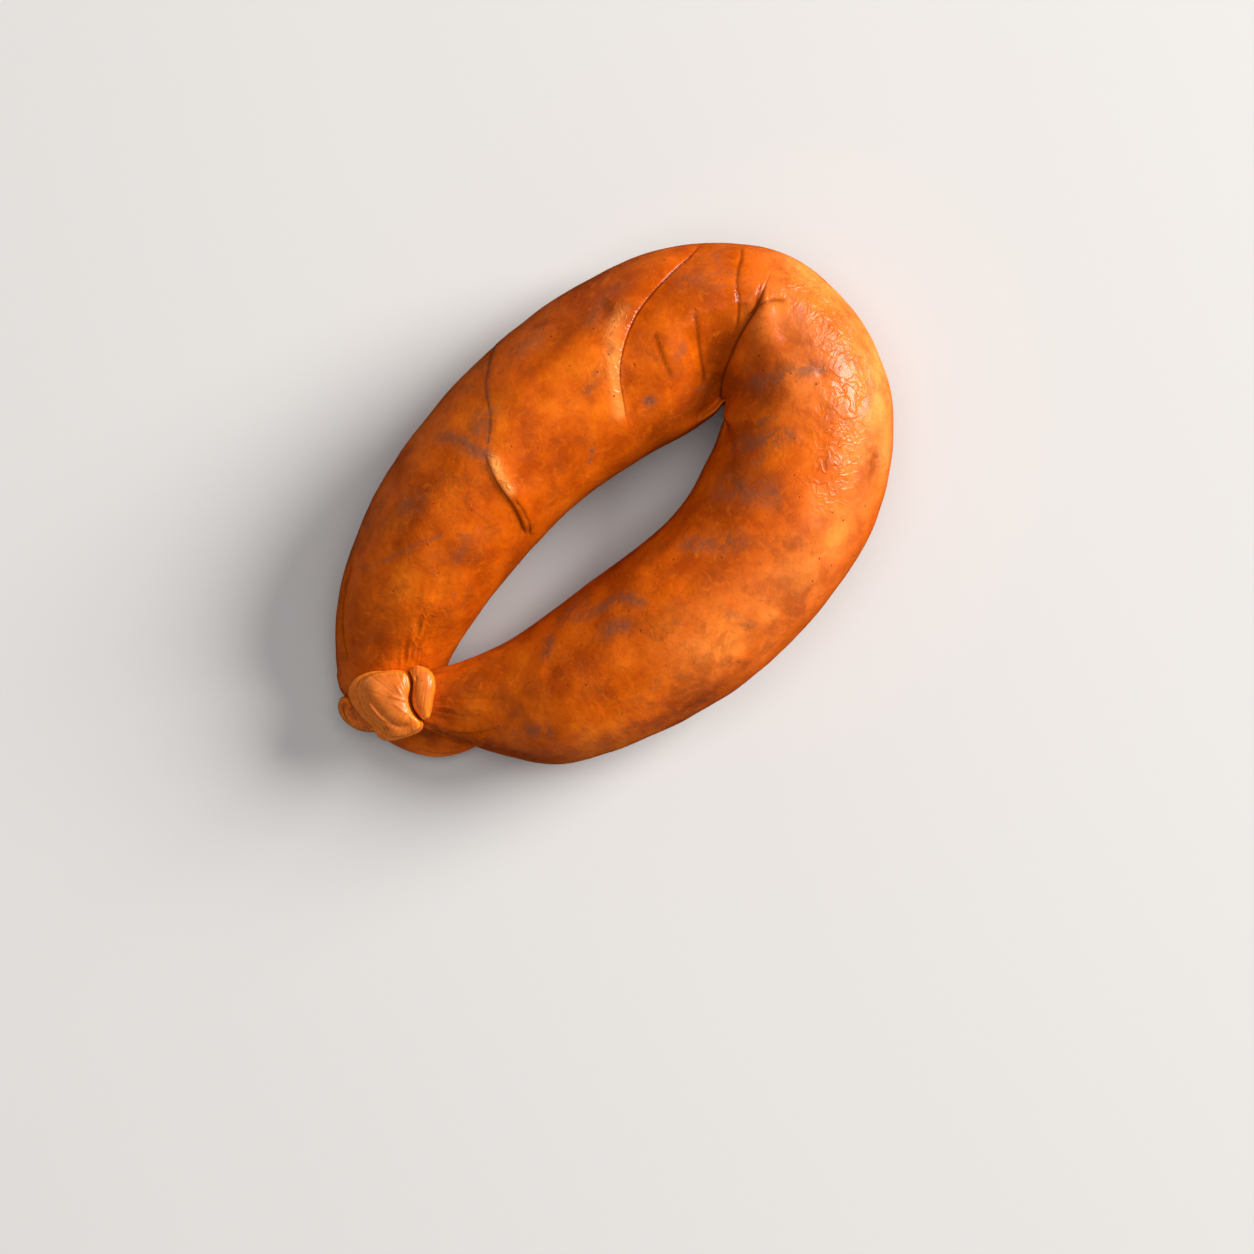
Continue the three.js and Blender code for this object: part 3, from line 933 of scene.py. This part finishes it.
# the folded casing ends. Each layer is a pad: plan outline, middle of its edge z, half thickness, lean along
# x, and how boxy it is, from 1, round, towards 0. Ridges and grooves follow plan paths on top: height, half
# width and strength of the painted shade in them
lobeEnd = {
    "name": "knot_big_lobe",
    "node": "casing_tail_over",
    "layers": [
        {"outline": [(-59.3, 5.6), (-59.5, 4.4), (-60.4, 3.2), (-62.2, 1.6), (-63.1, 0.2), (-63.8, -1.4),
         (-64.6, -2.5), (-65.8, -3.4), (-67.2, -3.2), (-68.3, -2.3), (-69.2, -0.9), (-69.8, 1.6),
         (-69.9, 3.4), (-69.8, 5.4), (-69.5, 7.8), (-68.8, 9.6), (-67.6, 10.6), (-65.9, 10.6), (-63.4, 9.4),
         (-60.8, 7.4)], "middle": 21.4, "half": 3.1, "lean": 0.10, "box": 0.72},
        {"outline": [(-58.8, 6.1), (-58.8, 4.9), (-60.0, 3.0), (-61.8, 1.6), (-62.9, 0.3), (-63.8, -1.5),
         (-64.2, -3.4), (-64.1, -5.2), (-65.3, -6.0), (-68.1, -5.3), (-69.8, -4.5), (-71.0, -3.3),
         (-71.4, -1.8), (-71.5, 0.2), (-71.8, 2.6), (-71.7, 5.0), (-71.0, 7.2), (-70.1, 9.0), (-69.0, 10.6),
         (-67.4, 11.5), (-65.3, 11.2), (-62.6, 9.7), (-60.3, 7.9)], "middle": 20.4, "half": 2.9,
         "lean": 0.16, "box": 0.5},
        {"outline": [(-58.9, 6.0), (-59.2, 4.4), (-60.8, 2.6), (-62.7, 0.2), (-63.9, -2.6), (-64.3, -5.2),
         (-66.5, -5.7), (-69.4, -4.7), (-71.6, -3.0), (-72.3, -1.1), (-72.6, 1.6), (-72.8, 4.2),
         (-72.4, 6.8), (-71.6, 8.9), (-70.3, 11.0), (-68.4, 12.1), (-66.0, 11.8), (-63.2, 10.4),
         (-60.6, 8.2)], "middle": 19.1, "half": 2.9, "lean": 0.18, "box": 0.5},
        {"outline": [(-58.5, 6.1), (-58.5, 4.7), (-59.9, 2.9), (-61.6, 1.4), (-62.7, 0.1), (-63.5, -1.6),
         (-63.9, -3.4), (-63.8, -5.4), (-65.2, -6.4), (-68.0, -5.8), (-71.3, -4.2), (-73.0, -3.0),
         (-74.1, -1.4), (-74.1, 0.2), (-73.7, 2.2), (-73.9, 4.8), (-73.9, 7.0), (-73.6, 9.6), (-72.6, 11.9),
         (-70.6, 13.2), (-68.0, 13.3), (-65.2, 12.3), (-62.2, 10.0), (-59.5, 7.7)], "middle": 17.2,
         "half": 3.1, "lean": 0.16, "box": 0.5},
        {"outline": [(-60, 5), (-64, 9), (-68, 10.5), (-71.5, 9), (-72, 4), (-71, 0), (-68, -3.5),
         (-64.5, -3), (-61, 1)], "middle": 14.0, "half": 4.5, "lean": 0.1, "box": 0.8},
    ],
    "shade": 0.0,  # how much painted shade darkens the outermost part
    "streaks": {"from": (-63.0, -0.3), "every": 4.5, "depth": 0.1},
    "ridges": [
        {"path": [(-69.9, 7.0), (-70.1, 5.5), (-70.2, 4.3), (-70.3, 2.8), (-70.1, 1.3), (-69.6, 0.1)],
         "height": 0.45, "width": 0.42, "creaseShade": 0.0},
        {"path": [(-69.7, 0.2), (-69.2, -1.2), (-68.5, -2.5), (-67.3, -3.3), (-66.0, -3.6)], "height": -0.3,
         "width": 0.5, "creaseShade": 0.5},
        {"path": [(-62.9, 0.0), (-63.5, 1.6), (-64.5, 3.3), (-65.7, 4.7)], "height": 0.2, "width": 0.35,
         "creaseShade": 0.0},
        {"path": [(-63.2, 0.6), (-63.0, 2.2), (-62.6, 4.2), (-62.0, 6.0)], "height": 0.12, "width": 0.4,
         "creaseShade": 0.0},
        {"path": [(-64.6, -2.2), (-65.1, -0.9), (-65.4, 1.1), (-65.9, 2.8)], "height": 0.14, "width": 0.35,
         "creaseShade": 0.0},
        {"path": [(-71.3, -0.9), (-71.5, -0.6)], "height": -0.5, "width": 0.45, "creaseShade": 1.0},
    ],
}
strapEnd = {
    "name": "knot_strap",
    "node": "casing_tail_under",
    "layers": [
        {"outline": [(-57.7, 6.1), (-55.9, 5.8), (-54.6, 4.2), (-54.1, 2.3), (-54.6, 0.5), (-55.9, -1.2),
         (-58.1, -3.0), (-60.4, -4.8), (-62.0, -5.6), (-63.2, -5.1), (-63.4, -3.5), (-63.1, -1.4),
         (-61.9, 0.5), (-60.1, 2.1), (-58.6, 3.9)], "middle": 19.8, "half": 4.2, "lean": 0.14, "box": 0.66},
        {"outline": [(-58, 4), (-63, 8), (-69, 11), (-75, 11.5), (-77, 8), (-74, 4), (-68, 1.5), (-62, -2),
         (-58.5, 0.5)], "middle": 13.5, "half": 2.6, "lean": 0.42, "box": 0.8},
        {"outline": [(-73.0, 10.3), (-73.9, 12.4), (-75.2, 12.8), (-76.8, 11.8), (-77.8, 10.2),
         (-78.1, 8.0), (-77.8, 5.9), (-76.9, 3.8), (-75.4, 1.9), (-73.9, 1.0), (-72.6, 2.2), (-72.2, 5.0),
         (-72.4, 8.0)], "middle": 9.6, "half": 4.2, "lean": 0.15, "box": 0.72},
    ],
    "shade": 0.6,
    "streaks": {"from": (-65.5, -6.5), "every": 2.6, "depth": 0.12},
    "ridges": [
        {"path": [(-57.0, 3.9), (-58.5, 2.7), (-59.9, 1.8), (-61.2, 0.8)], "height": -0.3, "width": 0.4,
         "creaseShade": 0.35},
        {"path": [(-73.6, 9.8), (-75.4, 9.6), (-76.3, 8.8), (-76.6, 7.6), (-76.4, 6.2)], "height": 0.5,
         "width": 0.45, "creaseShade": 0.0},
        {"path": [(-74.1, 11.2), (-76.2, 10.6), (-77.2, 9.2), (-77.4, 7.2)], "height": -0.35, "width": 0.4,
         "creaseShade": 0.6},
        {"path": [(-73.3, 9.0), (-75.0, 8.4), (-75.6, 7.0), (-75.6, 5.2)], "height": -0.35, "width": 0.45,
         "creaseShade": 0.7},
        {"path": [(-73.0, 8.0), (-73.8, 6.0), (-74.0, 3.6)], "height": 0.4, "width": 0.5, "creaseShade": 0.0},
    ],
}


# what both folded ends share
knotSkin = {
    "around": 96,  # points round a pad
    "rows": 48,  # rows of points over a pad
    "steps": 240,  # steps round its outline
    "voxel": 0.17,  # mm
    "upper": (0.1, 0.7),  # how far up the skin faces where the relief comes in
    "streakRun": (9, 12),  # mm, how far a streak holds outwards and in height
    "lump": (0.12, 3.2),  # height and size
    "comes": (0, 0.2),  # shares of a ridge's length
    "goes": (0.75, 1),
    "inFolds": (0.002, 0.014),  # hollowness, for the lines of painted shade in the folds
    "onRims": (0.002, 0.009),  # the same the other way, for the painted glow on the narrow rims
    "flanks": (0.35, 0.85),  # how far up the skin faces where the painted glow on the flanks fades out
    "flankGlow": 0.6,
    "drawn": 0.5,
    "outermost": (70, 73),  # mm from the middle of the part, where the shaded lobe starts
}


def pad(bm, layer):
    outline = smoothCurve(layer["outline"] + layer["outline"][:1], knotSkin["steps"])
    middle = outline.mean(0)
    off = outline - middle
    heading = np.arctan2(off[:, 1], off[:, 0])
    order = np.argsort(heading)
    made = bmesh.ops.create_uvsphere(bm, u_segments=knotSkin["around"], v_segments=knotSkin["rows"], radius=1)
    made = made["verts"]
    start = np.array([v.co for v in made])
    towards = np.arctan2(start[:, 1], start[:, 0])
    reach = np.interp(towards, heading[order], np.hypot(off[:, 0], off[:, 1])[order], period=2 * math.pi)
    spread = np.hypot(start[:, 0], start[:, 1]) ** layer["box"]
    x = middle[0] + np.cos(towards) * reach * spread
    y = middle[1] + np.sin(towards) * reach * spread
    rise = np.sign(start[:, 2]) * np.abs(start[:, 2]) ** layer["box"] * layer["half"]
    z = layer["middle"] + rise + layer["lean"] * (x - middle[0])
    for vert, place in zip(made, np.stack([x, y, z], 1)):
        vert.co = place


def fuse(bm, name):  # several overlapping pads become one skin
    rough = bpy.data.meshes.new(name + "_rough")
    bm.to_mesh(rough)
    bm.free()
    rough.transform(Matrix.Scale(mm, 4))
    carrier = bpy.data.objects.new(name + "_rough", rough)
    bpy.context.scene.collection.objects.link(carrier)
    join = carrier.modifiers.new("join", "REMESH")
    join.mode = "VOXEL"
    join.voxel_size = knotSkin["voxel"] * mm
    settle = carrier.modifiers.new("settle", "SMOOTH")
    settle.factor = 0.5
    settle.iterations = 2
    graph = bpy.context.evaluated_depsgraph_get()
    mesh = bpy.data.meshes.new_from_object(carrier.evaluated_get(graph))
    mesh.name = name
    bpy.data.objects.remove(carrier)
    bpy.data.meshes.remove(rough)
    return mesh


def hollowness(mesh, co, facing, rounds=3):  # above 0 in folds, below 0 on ridges
    ends = np.empty(len(mesh.edges) * 2, np.int64)
    mesh.edges.foreach_get("vertices", ends)
    a, b = ends.reshape(-1, 2).T
    count = np.maximum(np.bincount(a, minlength=len(co)) + np.bincount(b, minlength=len(co)), 1)

    def around(values):
        total = np.bincount(a, values[b], len(co)) + np.bincount(b, values[a], len(co))
        return total / count

    lean = np.stack([around(co[:, k]) for k in range(3)], 1) - co
    value = (lean * facing).sum(1)
    for _ in range(rounds):
        value = (value + around(value)) / 2
    return value


def ridgeShape(plan, ridge):  # how strongly each point is on a ridge
    path = smoothCurve([(x, y, 0) for x, y in ridge["path"]], 30)
    gap, _, share, _ = alongPath(plan, path)
    shape = np.exp(-((gap / ridge["width"]) ** 2))
    if len(ridge["path"]) > 2:  # a dimple, with only two points, keeps its ends
        shape *= ease(share, *knotSkin["comes"]) * (1 - ease(share, *knotSkin["goes"]))
    return shape


def makeFoldedEnd(end, material):
    bm = bmesh.new()
    for layer in end["layers"]:
        pad(bm, layer)
    mesh = fuse(bm, end["name"])
    co, facing = coordinates(mesh) / mm, normals(mesh)
    hollow = hollowness(mesh, co, facing)
    upper = ease(facing[:, 2], *knotSkin["upper"])
    # streaks fan out from one corner of the folded skin
    streaks = end["streaks"]
    off = co[:, :2] - np.array(streaks["from"])
    fan = np.degrees(np.arctan2(off[:, 1], off[:, 0]))
    out = np.hypot(off[:, 0], off[:, 1])
    outwards, upwards = knotSkin["streakRun"]
    rows = np.stack([fan / streaks["every"], out / outwards, co[:, 2] / upwards], 1)
    lumpHeight, lumpSize = knotSkin["lump"]
    lift = field(rows, 1.0, 6) * streaks["depth"] * upper + lumpHeight * field(co, lumpSize, 7)
    # painted shade in the hollows of the folds
    creaseShade = ease(hollow, *knotSkin["inFolds"])
    plan = co * np.array([1, 1, 0])
    for ridge in end["ridges"]:
        shape = ridgeShape(plan, ridge) * upper
        lift += ridge["height"] * shape
        creaseShade = np.maximum(creaseShade, ridge["creaseShade"] * shape)
    moveTo(mesh, (co + facing * lift[:, None]) * mm)
    # painted glow: narrow rims and steep flanks made brighter orange, as if lit through
    rims = ease(-hollow, *knotSkin["onRims"])
    flanks = 1 - ease(facing[:, 2], *knotSkin["flanks"])
    setAttribute(mesh, "crease", creaseShade)
    setAttribute(mesh, "smudgeAndGlow", rims + knotSkin["flankGlow"] * flanks)
    setAttribute(mesh, "drawn", np.full(len(co), knotSkin["drawn"]))
    # painted shade on the outermost lobe, which lies low under the big lobe
    setAttribute(mesh, "smoked", end["shade"] * ease(-co[:, 0], *knotSkin["outermost"]))
    for name in ("moist", "stretchedAndLit", "wrinkled"):
        setAttribute(mesh, name, np.zeros(len(co)))
    setStrand(mesh, out, np.radians(fan) * out / meanRadius)
    finishPiece(mesh, end["name"], end["node"], material)


makeBody(casingMaterial("smoked_casing", smokedFinish))
knotted = casingMaterial("knotted_casing", knotFinish)
makeFoldedEnd(lobeEnd, knotted)
makeFoldedEnd(strapEnd, knotted)
